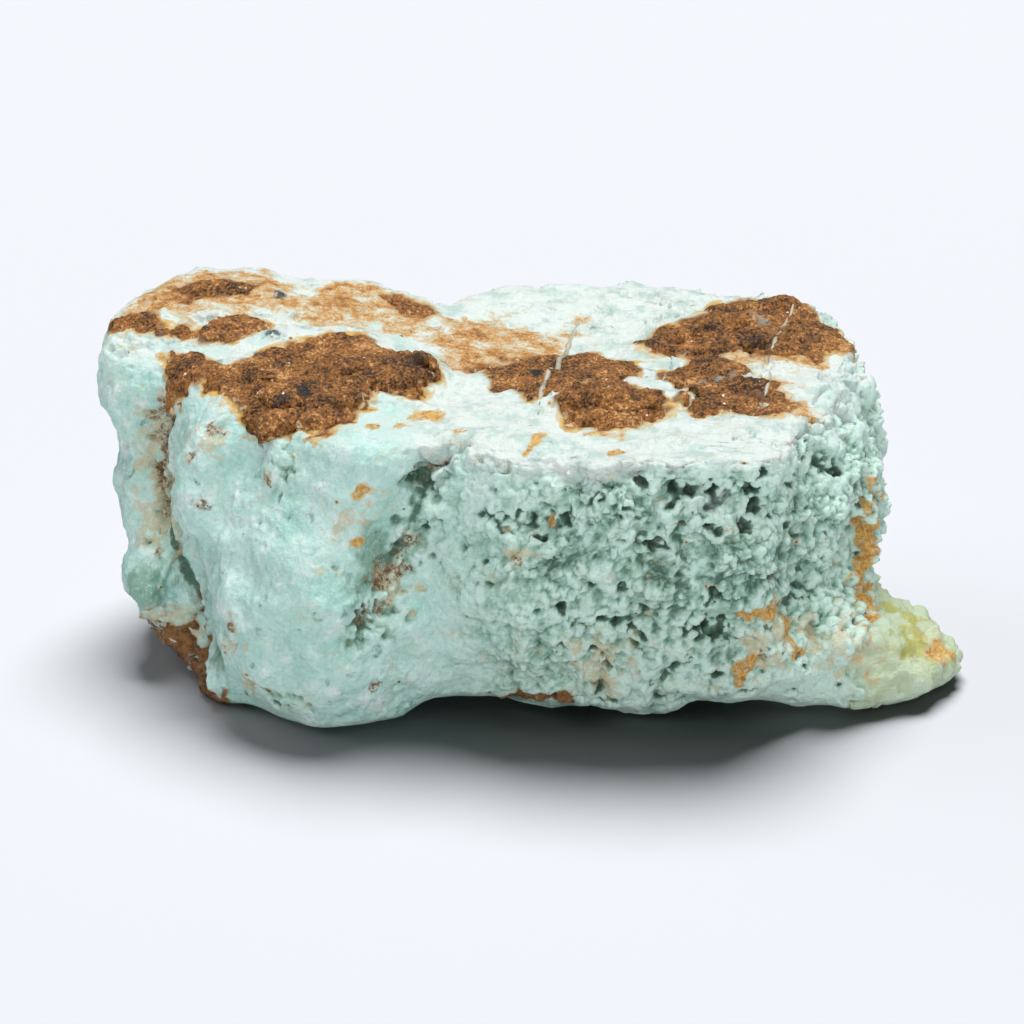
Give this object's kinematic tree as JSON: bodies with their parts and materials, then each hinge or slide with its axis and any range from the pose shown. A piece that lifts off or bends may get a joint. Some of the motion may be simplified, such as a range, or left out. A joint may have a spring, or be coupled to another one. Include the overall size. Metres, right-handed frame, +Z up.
{
  "type": "raw chrysoprase",
  "caption": "Palm-sized chunk of raw green chrysoprase with a flat brown-crusted top, lobed and pitted flanks and a low foot at one end.",
  "frame": {"origin": "centre of the bounding box's base, on the surface that the chunk rests on", "axes": "+Z up, +X along the chunk's length towards its low foot, -Y towards the pitted front face"},
  "size_m": [0.09, 0.051, 0.035],
  "materials": {
    "chrysoprase": "rough fracture, waxy to chalky",
    "limonite_crust": "earthy, matt"
  },
  "bodies": {
    "root": {"chrysoprase_chunk": "chrysoprase"}
  },
  "joints": []
}
